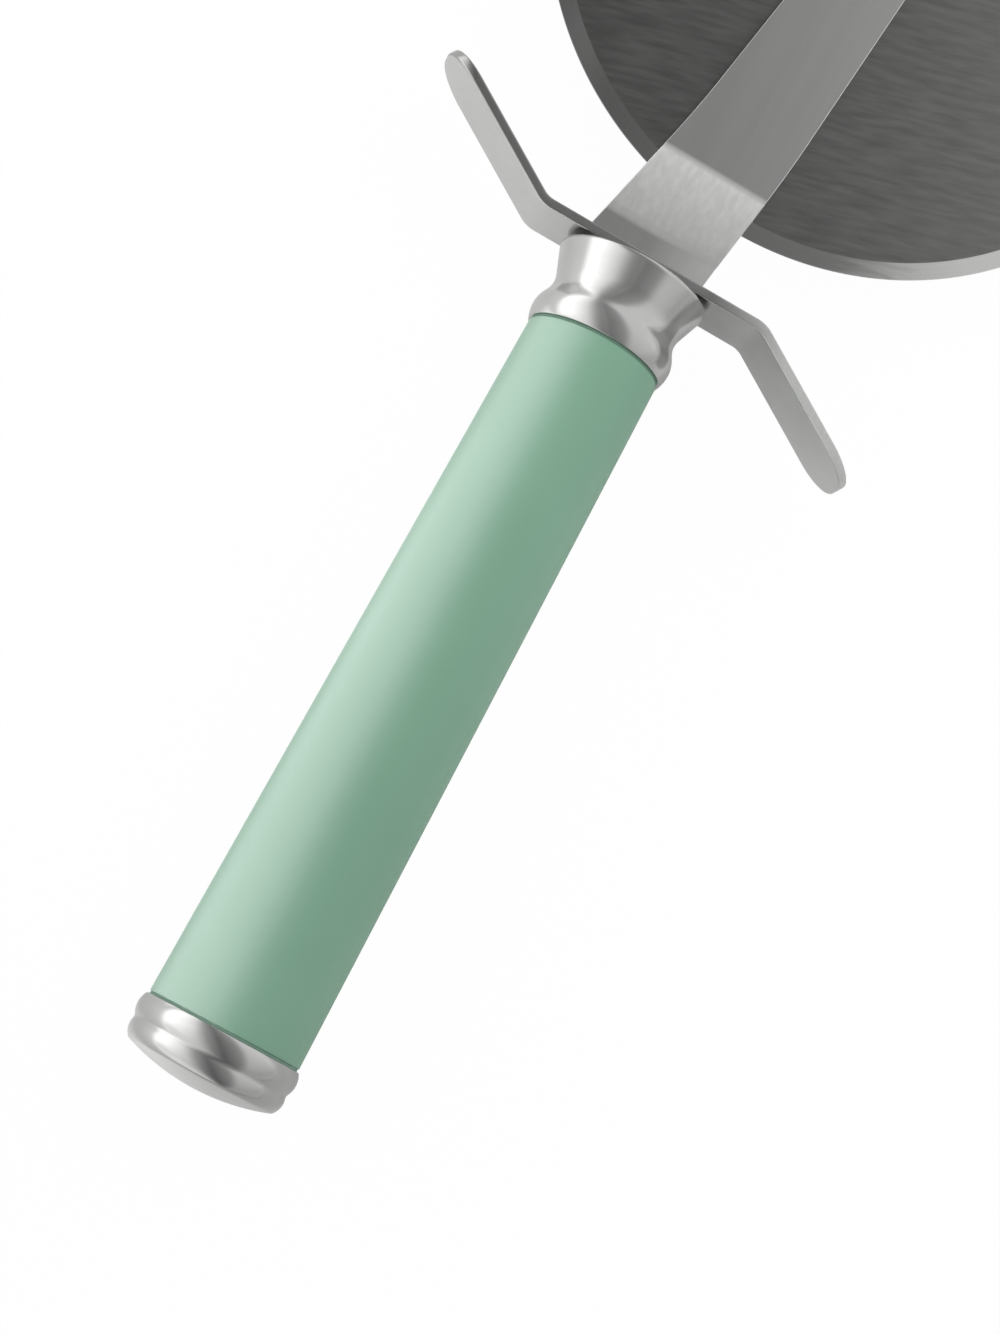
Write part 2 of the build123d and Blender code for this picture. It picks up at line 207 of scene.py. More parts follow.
def round_rings(piece, rings, size, upright=False, segments=3):
    """Rounds the ring-shaped edges of a turned piece."""
    for place, radius in rings:
        pick(piece, "EDGE", on_ring(place, radius, upright))
        bpy.ops.mesh.bevel(affect="EDGES", offset=size * MM, segments=segments)


def fill_ring(piece, place, radius, upright=False):
    """Closes the open ring that a turned piece was started from."""
    pick(piece, "EDGE", on_ring(place, radius, upright))
    bpy.ops.mesh.edge_face_add()


def arc_from(start, heading, radius, turn, count=12):
    """Stations of an arc, after its start, that leaves at a heading and turns, outwards if positive."""
    side = math.copysign(radius, turn)
    middle = (start[0] - side * math.sin(heading), start[1] + side * math.cos(heading))
    headings = [heading + turn * step / count for step in range(1, count + 1)]
    return [(middle[0] + side * math.sin(now), middle[1] - side * math.cos(now)) for now in headings]


def arc_through(start, middle, end, count=14):
    """Stations of the arc through three points, after the start."""
    (ax, ay), (bx, by), (cx, cy) = start, middle, end
    across = 2 * (ax * (by - cy) + bx * (cy - ay) + cx * (ay - by))
    a2, b2, c2 = ax**2 + ay**2, bx**2 + by**2, cx**2 + cy**2
    x = (a2 * (by - cy) + b2 * (cy - ay) + c2 * (ay - by)) / across
    y = (a2 * (cx - bx) + b2 * (ax - cx) + c2 * (bx - ax)) / across
    radius = math.hypot(ax - x, ay - y)
    first = math.atan2(ay - y, ax - x)
    sweep = math.remainder(math.atan2(cy - y, cx - x) - first, 2 * math.pi)
    turns = [first + sweep * step / count for step in range(1, count + 1)]
    return [(x + radius * math.cos(turn), y + radius * math.sin(turn)) for turn in turns]


def dome(rim, rise, smallest=0.0, count=16):
    """Stations of a ball's cap, after its rim (place, radius), to its pole or to a small ring near it."""
    place, reach = rim
    ball = (reach**2 + rise**2) / (2 * abs(rise))
    side = math.copysign(1, rise)
    widest = math.asin(reach / ball)
    narrowest = math.asin(smallest / ball)
    turns = [widest + (narrowest - widest) * step / count for step in range(1, count + 1)]
    top = place + rise - side * ball
    return [(top + side * ball * math.cos(turn), ball * math.sin(turn)) for turn in turns]


def make_grip():
    """Tapered sleeve, its two outer edges eased."""
    rear, front = (GRIP_REAR_X, GRIP_REAR_R), (GRIP_FRONT_X, GRIP_FRONT_R)
    start = (GRIP_REAR_X, GRIP_BORE_R)
    piece = turned("grip_sleeve", [start, rear, front, (GRIP_FRONT_X, GRIP_BORE_R), start], HANDLE_STEPS)
    round_rings(piece, [rear, front], GRIP_EDGE_R, segments=5)
    return close(piece)


def make_seal(name, low_x, inner_r, outer_r):
    """Flat nitrile seal ring with a softly rounded outer edge, in a darker green that paints the shade of
    its seam.
    """
    high_x = low_x + SEAL_THICK
    start = (low_x, inner_r)
    profile = [start, (low_x, outer_r), (high_x, outer_r), (high_x, inner_r), start]
    piece = turned(name, profile, SEAL_STEPS)
    round_rings(piece, [(low_x, outer_r), (high_x, outer_r)], SEAL_EDGE)
    return close(piece, smooth_below=40)


def make_ferrule():
    """Waisted collar: a bulge at the grip, a hollow, a flare to a rounded rim, and a neck at the guard."""
    seam = (FERRULE_REAR_X, GRIP_FRONT_R + SEAM_RISE)
    rise = BULGE_RISE - SEAM_RISE
    seam_r = (BULGE_AT**2 + rise**2) / (2 * rise)
    seam_turn = math.asin(BULGE_AT / seam_r)
    outside = [seam] + arc_from(seam, seam_turn, seam_r, -seam_turn)
    outside += arc_from(outside[-1], 0, BULGE_R, -SLOPE)
    slope_x, slope_r = outside[-1]
    foot = (slope_x + SLOPE_LENGTH * math.cos(SLOPE), slope_r - SLOPE_LENGTH * math.sin(SLOPE))
    outside += [foot] + arc_from(foot, -SLOPE, WAIST_R, SLOPE + FLARE)
    waist_r = foot[1] - WAIST_R * (1 - math.cos(SLOPE))
    bore_r, neck_r = waist_r - FERRULE_WALL, GRIP_FRONT_R - NECK_DROP
    rim_x = GUARD_REAR_X - RIM_GAP
    flare_x, flare_r = outside[-1]
    rim = (rim_x, flare_r + (rim_x - flare_x) * math.tan(FLARE))
    start = (FERRULE_REAR_X, bore_r)
    inside = [rim, (rim_x, neck_r), (GUARD_REAR_X, neck_r), (GUARD_REAR_X, bore_r), start]
    piece = turned("ferrule_collar", [start] + outside + inside, HANDLE_STEPS)
    round_rings(piece, [rim], RIM_R * math.tan((math.pi / 2 + FLARE) / 2), segments=10)
    round_rings(piece, [seam], SEAM_EDGE)
    return close(piece)


def make_end_cap():
    """Turned shell with two beads and a low dome, and the snap ring's groove inside."""
    cavity = (CAP_RIM_X, CAP_CAVITY_R)
    rim = (CAP_RIM_X, GRIP_REAR_R + CAP_RIM_RISE)
    bead = (CAP_RIM_X - BEAD_AT, GRIP_REAR_R + BEAD_RISE)
    groove = (CAP_RIM_X - GROOVE_AT, GRIP_REAR_R + GROOVE_RISE)
    second = (CAP_RIM_X - SECOND_AT, GRIP_REAR_R + SECOND_RISE)
    shoulder = (CAP_POLE_X + DOME_RISE, GRIP_REAR_R - DOME_DROP)
    ball = (shoulder[1]**2 + DOME_RISE**2) / (2 * DOME_RISE) - CAP_WALL
    inner_rise = ball - math.sqrt(ball**2 - CAP_CAVITY_R**2)
    inner_rim = (CAP_POLE_X + CAP_WALL + inner_rise, CAP_CAVITY_R)
    inside = dome(inner_rim, -inner_rise, smallest=POLE_R)[::-1] + [inner_rim]
    ring_rear = (SNAP_RING_X - SNAP_RING_R, CAP_CAVITY_R)
    ring_top = (SNAP_RING_X, CAP_CAVITY_R + SNAP_RING_R)
    ring_front = (SNAP_RING_X + SNAP_RING_R, CAP_CAVITY_R)
    inside += [ring_rear] + arc_through(ring_rear, ring_top, ring_front, count=10)
    outside = [cavity, rim] + arc_through(rim, bead, groove) + arc_through(groove, second, shoulder)
    piece = turned("end_cap_shell", inside + outside + dome(shoulder, -DOME_RISE), HANDLE_STEPS)
    fill_ring(piece, *inside[0])
    round_rings(piece, [groove], GROOVE_ROUND, segments=4)
    round_rings(piece, [rim], SEAM_EDGE)
    return close(piece, smooth_below=35)


def make_blade():
    """Flat disc, ground from both sides to a thin rim."""
    start = (BLADE_FACE_Z, BUSH_R + SLIP)
    profile = [
        start, (BLADE_FACE_Z, BLADE_FACE_R), (BLADE_EDGE_Z, BLADE_R), (-BLADE_EDGE_Z, BLADE_R),
        (-BLADE_FACE_Z, BLADE_FACE_R), (-BLADE_FACE_Z, BUSH_R + SLIP), start]
    return close(turned("blade_disc", profile, BLADE_STEPS, upright=True), smooth_below=5)


def make_ring(name, low_z, top_z, outer_r):
    """Stamped washer on the axle, with its outer edges tumbled round."""
    inner_r = AXLE_R + SLIP
    start = (low_z, inner_r)
    profile = [start, (low_z, outer_r), (top_z, outer_r), (top_z, inner_r), start]
    piece = turned(name, profile, AXLE_STEPS, upright=True)
    round_rings(piece, [(low_z, outer_r), (top_z, outer_r)], WASHER_EDGE, upright=True)
    return close(piece)


def make_bush():
    """Moulded bush, flush with the blade's top, with a flange below it."""
    start = (BLADE_FACE_Z, BUSH_BORE_R)
    flange = [(-BLADE_FACE_Z, BUSH_FLANGE_R), (BUSH_LOW_Z, BUSH_FLANGE_R)]
    profile = [start, (BLADE_FACE_Z, BUSH_R), (-BLADE_FACE_Z, BUSH_R)] + flange
    piece = turned("wheel_bush", profile + [(BUSH_LOW_Z, BUSH_BORE_R), start], AXLE_STEPS, upright=True)
    round_rings(piece, flange[1:], BUSH_EDGE, upright=True)
    return close(piece)


def make_rivet():
    """Rivet with a domed head below the wheel, and a smaller head formed over on the arm."""
    lower = (THRUST_LOW_Z - HEAD_EDGE, HEAD_R)
    upper = (ARM_TOP_Z + FORMED_EDGE, FORMED_R)
    profile = dome(lower, -HEAD_DOME, smallest=POLE_R)[::-1]
    profile += [lower, (THRUST_LOW_Z, HEAD_R), (THRUST_LOW_Z, AXLE_R), (ARM_TOP_Z, AXLE_R)]
    profile += [(ARM_TOP_Z, FORMED_R), upper] + dome(upper, FORMED_DOME)
    piece = turned("wheel_rivet", profile, AXLE_STEPS, upright=True)
    fill_ring(piece, *profile[0], upright=True)
    round_rings(piece, [lower, upper], RIVET_EDGE, upright=True)
    return close(piece)


def bend_wing(piece, bend_y, turn_x, side):
    """Bends one end of the strip round, draws the wing out straight, and rounds its tip."""
    tangent = WING_BEND_R * math.tan(WING_ANGLE / 2)
    end_y = side * (bend_y - tangent)
    pick(piece, "EDGE", lambda corner: abs(corner.y - end_y) < NEAR)
    middle = Vector((turn_x, end_y, 0)) * MM
    bpy.ops.mesh.spin(steps=WING_STEPS, angle=WING_ANGLE, center=middle, axis=(0, 0, 1))
    out = Vector((math.sin(WING_ANGLE), math.cos(WING_ANGLE), 0)) * side
    bpy.ops.mesh.extrude_region_move(TRANSFORM_OT_translate={"value": out * (WING_LENGTH - tangent) * MM})
    start = Vector((GUARD_REAR_X + GUARD_THICK / 2, side * bend_y, 0))
    tip = start + out * WING_LENGTH
    pick(piece, "VERT", lambda corner: (corner - tip).xy.length < NEAR and abs(corner.z) > GUARD_WIDTH / 4)
    bpy.ops.mesh.bevel(affect="VERTICES", offset=(GUARD_WIDTH - TIP_FLAT) / 2 * MM, segments=TIP_STEPS)


def make_guard():
    """S-bent strip, cut with a slot for the tang, its edges tumbled round."""
    middle_x = GUARD_REAR_X + GUARD_THICK / 2
    tangent = WING_BEND_R * math.tan(WING_ANGLE / 2)
    low_y, high_y = tangent - FINGER_BEND, THUMB_BEND - tangent
    piece = begin(
        "guard_strip", bpy.ops.mesh.primitive_plane_add, scale=(GUARD_WIDTH, high_y - low_y, 1), size=MM,
        location=Vector((middle_x, (low_y + high_y) / 2, 0)) * MM, rotation=(0, math.pi / 2, 0))
    half_width, half_thick = TANG_WIDTH / 2 + SLIP, ARM_THICK / 2 + SLIP
    for across, half in (((0, 1, 0), half_width), ((0, 0, 1), half_thick)):
        for side in (-1, 1):
            bpy.ops.mesh.select_all(action="SELECT")
            spot = Vector((middle_x, 0, 0)) + side * half * Vector(across)
            bpy.ops.mesh.bisect(plane_co=spot * MM, plane_no=across)
    pick(piece, "FACE", lambda corner: (
        abs(corner.y) < half_width + NEAR and abs(corner.z) < half_thick + NEAR))
    bpy.ops.mesh.delete(type="FACE")
    bend_wing(piece, FINGER_BEND, middle_x - WING_BEND_R, -1)
    bend_wing(piece, THUMB_BEND, middle_x + WING_BEND_R, 1)
    close(piece)
    thicken(piece, GUARD_THICK)
    return tumble(piece, GUARD_EDGE)


def edge_to_end(start, side):
    """Where the arm's edge from a point meets its round end, at the thumb's side (1) or the other (-1)."""
    across = (AXLE_X - start[0], AXLE_Y - start[1])
    distance = math.hypot(*across)
    heading = math.atan2(across[1], across[0]) + side * math.asin(ARM_END_R / distance)
    reach = math.sqrt(distance**2 - ARM_END_R**2)
    return (start[0] + reach * math.cos(heading), start[1] + reach * math.sin(heading))


def joggle_line(count=5):
    """Cuts across the arm at its two bends, each with its height."""
    slope = math.atan2(ARM_RISE, JOGGLE_RUN)
    tangent = JOGGLE_BEND_R * math.tan(slope / 2)
    turns = [slope * step / count for step in range(count + 1)]
    rounds = [(JOGGLE_BEND_R * math.sin(turn), JOGGLE_BEND_R * (1 - math.cos(turn))) for turn in turns]
    lower = [(JOGGLE_X - tangent + along, rise) for along, rise in rounds]
    upper = [(JOGGLE_END_X + tangent - along, ARM_RISE - rise) for along, rise in rounds]
    return lower + upper[::-1]


def drill(piece, x, y, radius):
    """Drills a round hole through a plate."""
    begin("drill", bpy.ops.mesh.primitive_cylinder_add, vertices=DRILL_STEPS, radius=radius * MM,
          depth=DRILL_DEPTH * MM, location=Vector((x, y, 0)) * MM)
    bpy.ops.object.mode_set(mode="OBJECT")
    cutter = bpy.context.object
    apply_modifier(piece, "BOOLEAN", operation="DIFFERENCE", object=cutter)
    bpy.data.objects.remove(cutter)


def make_arm():
    """Tapered plate with a tang: an outline that is filled, joggled, thickened, drilled and tumbled."""
    thumb_waist, finger_waist = (ARM_WAIST_X, ARM_WAIST_THUMB), (ARM_WAIST_X, -ARM_WAIST_FINGER)
    thumb_base, finger_base = (GUARD_FRONT_X, ARM_BASE_THUMB), (GUARD_FRONT_X, -ARM_BASE_FINGER)
    thumb_touch, finger_touch = edge_to_end(thumb_waist, 1), edge_to_end(finger_waist, -1)
    half = TANG_WIDTH / 2
    outline = [
        finger_touch, finger_waist, finger_base, (GUARD_FRONT_X, -half), (TANG_END_X, -half),
        (TANG_END_X, half), (GUARD_FRONT_X, half), thumb_base, thumb_waist, thumb_touch]
    piece = begin("arm_plate", bpy.ops.mesh.primitive_plane_add, size=MM,
                  location=Vector((*finger_touch, 0)) * MM)
    bpy.ops.mesh.merge(type="CENTER")
    for here, there in zip(outline, outline[1:]):
        step = Vector((there[0] - here[0], there[1] - here[1], 0)) * MM
        bpy.ops.mesh.extrude_vertices_move(TRANSFORM_OT_translate={"value": step})
    first = math.atan2(thumb_touch[1] - AXLE_Y, thumb_touch[0] - AXLE_X)
    last = math.atan2(finger_touch[1] - AXLE_Y, finger_touch[0] - AXLE_X)
    bpy.ops.mesh.spin(steps=ARM_END_STEPS, angle=first - last, center=AXLE_FOOT, axis=(0, 0, 1))
    bpy.ops.mesh.select_all(action="SELECT")
    bpy.ops.mesh.remove_doubles(threshold=SAME * MM)
    bpy.ops.mesh.edge_face_add()
    edges = ((thumb_base, thumb_waist, thumb_touch), (finger_base, finger_waist, finger_touch))
    for base, waist, touch in edges:
        before = math.atan2(waist[1] - base[1], waist[0] - base[0])
        after = math.atan2(touch[1] - waist[1], touch[0] - waist[0])
        ease = ARM_WAIST_R * math.tan(abs(after - before) / 2)
        pick(piece, "VERT", lambda corner: math.dist(corner.xy, waist) < NEAR)
        bpy.ops.mesh.bevel(affect="VERTICES", offset=ease * MM, segments=ARM_WAIST_STEPS)
    cuts = joggle_line()
    for x, _ in cuts:
        bpy.ops.mesh.select_all(action="SELECT")
        bpy.ops.mesh.bisect(plane_co=(x * MM, 0, 0), plane_no=(1, 0, 0))
    for x, rise in cuts:
        pick(piece, "VERT", lambda corner: abs(corner.x - x) < NEAR)
        bpy.ops.transform.translate(value=(0, 0, rise * MM))
    pick(piece, "VERT", lambda corner: corner.x > cuts[-1][0] + NEAR)
    bpy.ops.transform.translate(value=(0, 0, ARM_RISE * MM))
    close(piece)
    thicken(piece, ARM_THICK)
    drill(piece, AXLE_X, AXLE_Y, AXLE_R + SLIP)
    for x in PIN_PLACES:
        drill(piece, x, 0, PIN_R + SLIP)
    return tumble(piece, ARM_EDGE)


# Brushing: the belts' headings in degrees from X, the side of a grain map's tile, and how the streaks wander
ARM_GRAIN, BLADE_GRAIN, GRAIN_TILE = 0, 108, 100
WANDER_APART, WANDER_WIDE = 14, 0.8

# Where a finish or a painted highlight starts and ends, by place or by the way that a face points,
# and how strongly it shows
RAMP_FOOT_X, RAMP_TOP_X = (JOGGLE_X - 0.9, JOGGLE_X + 0.8), (JOGGLE_END_X - 0.6, JOGGLE_END_X + 0.5)
# A coarse patch of the arm's base at the finger's side, which also carries a painted highlight
ROUGH_LIT_BASE_Y, ROUGH_LIT_BASE_SHARE = (0.5, -9), 0.5
# The faces of the arm's edge at the finger's side that carry a painted highlight, a light line
EDGE_HIGHLIGHT_SIDE, EDGE_HIGHLIGHT_TOP = (-0.2, -0.4), (0.15, 0.3)
# How much paler the ramp's painted highlight grows towards its top, and how much scratches show in it
HIGHLIGHT_CLIMB_SHARE, SCRATCH_SHARE = 0.65, 0.35
GROUND_R = (BLADE_FACE_R - 0.05, BLADE_FACE_R + 0.05)
# The painted reflection on the blade's rim: its heading, where it turns from shaded to lit, and how ragged
RIM_HEADING, RIM_HIGHLIGHT, RIM_RAGGED = Vector((0.42, -0.91, 0)), (-3, 8), 6
# Which faces are sheared edges, and where the edge at the finger's side turns matt, with a painted highlight
SHEARED_FACE, MATT_HIGHLIT_Y = (0.8, 0.7), (-10, -24)

# The middle part of a cloudy pattern, which is stretched to its whole range
CLOUDS = (0.3, 0.7)


def lay_grain(piece, heading):
    """Gives a flat piece a map with its first axis across the brushing, which heads so far from X."""
    turn = math.radians(heading)
    across, along = (-math.sin(turn), math.cos(turn)), (math.cos(turn), math.sin(turn))
    corners = piece.data.vertices
    layer = piece.data.uv_layers.new(name="grain")
    for loop in piece.data.loops:
        spot = corners[loop.vertex_index].co.xy / MM / GRAIN_TILE
        layer.data[loop.index].uv = (spot.dot(across), spot.dot(along))


def linear(code):
    """The linear colour of an sRGB hex value."""
    parts = [int(code[at:at + 2], 16) / 255 for at in (1, 3, 5)]
    return [part / 12.92 if part < 0.04045 else ((part + 0.055) / 1.055)**2.4 for part in parts] + [1]


def per(size):
    """The texture scale that gives features about this many millimetres apart."""
    return 1 / (size * MM)


def wire(tree, node, inputs=None, **settings):
    """Adds a node of a kind, or takes one that is there, and gives it its settings, plain inputs and links.
    An input may be a value, a hex colour, an output, or a node, which gives its first live output."""
    if isinstance(node, str):
        node = tree.nodes.new("ShaderNode" + node)
    for key, value in settings.items():
        setattr(node, key, value)
    for socket, value in (inputs or {}).items():
        if isinstance(value, bpy.types.Node):
            value = next(output for output in value.outputs if output.enabled)
        if isinstance(value, bpy.types.NodeSocket):
            tree.links.new(value, node.inputs[socket])
        else:
            node.inputs[socket].default_value = linear(value) if isinstance(value, str) else value
    return node


def start_material(name, **constants):
    """A new material with its shader's plain values set, and its tree, shader and coordinates."""
    material = bpy.data.materials.new(name)
    material.use_nodes = True
    tree = material.node_tree
    plain = {socket.replace("_", " "): value for socket, value in constants.items()}
    shader = wire(tree, tree.nodes["Principled BSDF"], plain)
    return material, tree, shader, wire(tree, "TexCoord").outputs


def mottle(tree, place, apart, detail=2.0):
    """A cloudy pattern from 0 to 1, with features about so many millimetres apart, or so many each way."""
    sizes = apart if isinstance(apart, tuple) else (apart, apart, apart)
    scaled = wire(tree, "VectorMath", {0: place, 1: [per(size) for size in sizes]}, operation="MULTIPLY")
    clouds = wire(tree, "TexNoise", {"Vector": scaled, "Scale": 1.0, "Detail": detail})
    return wire(tree, "MapRange", {"Value": clouds, "From Min": CLOUDS[0], "From Max": CLOUDS[1]})


def lacquered_abs():
    """Moulded ABS under a satin lacquer: an even colour, a broad sheen, and a faint orange peel."""
    material, tree, shader, spots = start_material(
        "satin_lacquered_abs", IOR=1.5, Coat_Weight=0.5, Coat_Roughness=0.5, Coat_IOR=1.5)
    drift = mottle(tree, spots["Object"], apart=18, detail=1.0)
    peel = mottle(tree, spots["Object"], apart=0.8)
    wire(tree, shader, {
        "Base Color": wire(tree, "Mix", {"Factor": drift, "A": "#75A188", "B": "#79A58C"}, data_type="RGBA"),
        "Roughness": wire(tree, "MapRange", {"Value": peel, "To Min": 0.48, "To Max": 0.55}),
        "Normal": wire(tree, "Bump", {"Height": peel, "Distance": 0.003 * MM})})
    return material


def buffed_steel(name, axis, dark, light, smooth, rough):
    """Stainless steel turned and buffed: soft clear reflections, with hair-fine rings round its axis.
    The rings are really a few hundredths of a millimetre apart, and are drawn coarser so that they show."""
    material, tree, shader, spots = start_material(name, Metallic=1.0)
    centre = AXLE_FOOT if axis == "Z" else (0, 0, 0)
    centred = wire(tree, "VectorMath", {0: spots["Object"], 1: centre}, operation="SUBTRACT")
    rings = mottle(tree, centred, apart=(0.35, 7, 7) if axis == "X" else (7, 7, 0.35), detail=3.0)
    drift = mottle(tree, spots["Object"], apart=5)
    wire(tree, shader, {
        "Base Color": wire(tree, "Mix", {"Factor": drift, "A": dark, "B": light}, data_type="RGBA"),
        "Roughness": wire(tree, "MapRange", {"Value": rings, "To Min": smooth, "To Max": rough}),
        "Normal": wire(tree, "Bump", {"Height": rings, "Distance": 0.0003 * MM})})
    return material


def brush(tree, shader, place, heading, apart):
    """Streaks of a belt that ran so many degrees from X, and a tangent that spreads reflections over them.
    The streaks are really finer than 0.1 mm, and are drawn coarser so that they show."""
    headed = wire(tree, "Mapping", {"Vector": place, "Rotation": (0, 0, -math.radians(heading))})
    wander = wire(tree, "TexNoise", {"Vector": headed, "Scale": per(WANDER_APART), "Detail": 1.0})
    sway = {0: wander.outputs["Color"], 1: (0, WANDER_WIDE * MM, 0), 2: headed}
    bent = wire(tree, "VectorMath", sway, operation="MULTIPLY_ADD")
    wire(tree, shader, {"Tangent": wire(tree, "Tangent", direction_type="UV_MAP", uv_map="grain")})
    return mottle(tree, bent, apart, detail=3.0)


def arm_sheet():
    """Stainless sheet brushed along its length: fine streaks on the flats.
    The joggle's ramp and part of the base at the finger's side are coarse, and carry a painted highlight
    that grows paler towards the ramp's top.
    Beyond the ramp, the edge at that side carries a painted highlight, a light line."""
    material, tree, shader, spots = start_material("brushed_arm_stainless", Metallic=1.0, Anisotropic=0.5)
    streaks = brush(tree, shader, spots["Object"], ARM_GRAIN, apart=(60, 1.2, 4))
    scratches = mottle(tree, spots["Object"], apart=(1.8, 0.8, 4), detail=4.0)
    place = wire(tree, "SeparateXYZ", {0: spots["Object"]}).outputs
    facing = wire(tree, "SeparateXYZ", {0: spots["Normal"]}).outputs

    # How far the ramp and the coarse base reach, both with a painted highlight, and the edge's painted
    # highlight beyond them
    pressed = wire(tree, "MapRange", {
        "Value": place["X"], "From Min": RAMP_FOOT_X[0] * MM, "From Max": RAMP_FOOT_X[1] * MM})
    rough_lit_base = wire(tree, "MapRange", {
        "Value": place["Y"], "From Min": ROUGH_LIT_BASE_Y[0] * MM, "From Max": ROUGH_LIT_BASE_Y[1] * MM,
        "To Max": ROUGH_LIT_BASE_SHARE})
    rising = wire(tree, "Math", {0: pressed, 1: rough_lit_base}, operation="MAXIMUM")
    level = wire(tree, "MapRange", {
        "Value": place["X"], "From Min": RAMP_TOP_X[0] * MM, "From Max": RAMP_TOP_X[1] * MM})
    ramp = wire(tree, "Math", {0: rising, 1: level}, operation="SUBTRACT", use_clamp=True)
    sideways = wire(tree, "MapRange", {
        "Value": facing["Y"], "From Min": EDGE_HIGHLIGHT_SIDE[0], "From Max": EDGE_HIGHLIGHT_SIDE[1]})
    upwards = wire(tree, "MapRange", {
        "Value": facing["Z"], "From Min": EDGE_HIGHLIGHT_TOP[0], "From Max": EDGE_HIGHLIGHT_TOP[1]})
    # Painted highlight: a light line along the edge at the finger's side, beyond the ramp
    edge_highlight = wire(tree, "Math", {0: level, 1: sideways}, operation="MULTIPLY")
    edge_highlight = wire(tree, "Math", {0: edge_highlight, 1: upwards}, operation="MULTIPLY")
    painted_highlight = wire(tree, "Math", {0: ramp, 1: edge_highlight}, operation="MAXIMUM")

    # Colours: a painted highlight on the ramp and the base, paler towards the ramp's top, with scratches in
    # it
    highlight_climb = wire(tree, "MapRange", {
        "Value": place["X"], "From Min": JOGGLE_X * MM, "From Max": JOGGLE_END_X * MM,
        "To Max": HIGHLIGHT_CLIMB_SHARE})
    highlight_tone = wire(tree, "Math", {0: scratches, 1: SCRATCH_SHARE, 2: highlight_climb}, operation="MULTIPLY_ADD")
    flat_colour = wire(tree, "Mix", {"Factor": streaks, "A": "#B6B6B5", "B": "#B9B9B8"}, data_type="RGBA")
    ramp_highlight_colour = wire(tree, "Mix", {"Factor": highlight_tone, "A": "#DEDEDD", "B": "#FAFAF9"}, data_type="RGBA")
    colour = wire(tree, "Mix", {"Factor": painted_highlight, "A": flat_colour, "B": ramp_highlight_colour}, data_type="RGBA")

    # Roughness and relief
    flat_rough = wire(tree, "MapRange", {"Value": streaks, "To Min": 0.28, "To Max": 0.3})
    ramp_rough = wire(tree, "MapRange", {"Value": scratches, "To Min": 0.85, "To Max": 1.0})
    rough = wire(tree, "Mix", {"Factor": ramp, "A": flat_rough, "B": ramp_rough}, data_type="FLOAT")
    relief = wire(tree, "Mix", {"Factor": ramp, "A": 0.5, "B": scratches}, data_type="FLOAT")
    wire(tree, shader, {
        "Base Color": colour, "Roughness": rough,
        "Normal": wire(tree, "Bump", {"Height": relief, "Distance": 0.0005 * MM})})
    return material


def blade_sheet():
    """Dark cutlery stainless brushed on a belt: streaks like wood grain.
    Its rim was ground on a wheel afterwards, which left it paler, with fine rings.
    Over that, a painted reflection shades the rim at one side and makes it palest at the finger's side."""
    material, tree, shader, spots = start_material(
        "belt_brushed_blade_stainless", Metallic=1.0, Anisotropic=0.6)
    streaks = brush(tree, shader, spots["Object"], BLADE_GRAIN, apart=(6, 0.9, 4))

    # The ground rim, by the distance from the axle
    centred = wire(tree, "VectorMath", {0: spots["Object"], 1: AXLE_FOOT}, operation="SUBTRACT")
    level = wire(tree, "VectorMath", {0: centred, 1: (1, 1, 0)}, operation="MULTIPLY")
    radius = wire(tree, "VectorMath", {0: level}, operation="LENGTH")
    ground = wire(tree, "MapRange", {
        "Value": radius, "From Min": GROUND_R[0] * MM, "From Max": GROUND_R[1] * MM})
    rings = mottle(tree, wire(tree, "CombineXYZ", {"X": radius}), apart=0.3, detail=3.0)

    # Colours: a painted reflection takes the rim from shaded to lit along its heading, with a ragged border
    along = wire(tree, "VectorMath", {0: centred, 1: RIM_HEADING}, operation="DOT_PRODUCT")
    ragged = wire(tree, "Math", {0: streaks, 1: RIM_RAGGED * MM, 2: along}, operation="MULTIPLY_ADD")
    painted_highlight = wire(tree, "MapRange", {
        "Value": ragged, "From Min": RIM_HIGHLIGHT[0] * MM, "From Max": RIM_HIGHLIGHT[1] * MM})
    shaded_rim = wire(tree, "Mix", {"Factor": rings, "A": "#9B9B9A", "B": "#A5A5A4"}, data_type="RGBA")
    lit_rim = wire(tree, "Mix", {"Factor": rings, "A": "#C4C4C3", "B": "#CECECD"}, data_type="RGBA")
    rim_colour = wire(tree, "Mix", {"Factor": painted_highlight, "A": shaded_rim, "B": lit_rim}, data_type="RGBA")
    face_colour = wire(tree, "Mix", {"Factor": streaks, "A": "#727271", "B": "#838382"}, data_type="RGBA")
    colour = wire(tree, "Mix", {"Factor": ground, "A": face_colour, "B": rim_colour}, data_type="RGBA")

    # Roughness and relief
    face_rough = wire(tree, "MapRange", {"Value": streaks, "To Min": 0.30, "To Max": 0.42})
    rim_rough = wire(tree, "MapRange", {"Value": rings, "To Min": 0.12, "To Max": 0.18})
    rough = wire(tree, "Mix", {"Factor": ground, "A": face_rough, "B": rim_rough}, data_type="FLOAT")
    relief = wire(tree, "Mix", {"Factor": ground, "A": streaks, "B": rings}, data_type="FLOAT")
    wire(tree, shader, {
        "Base Color": colour, "Roughness": rough,
        "Normal": wire(tree, "Bump", {"Height": relief, "Distance": 0.0008 * MM})})
    return material


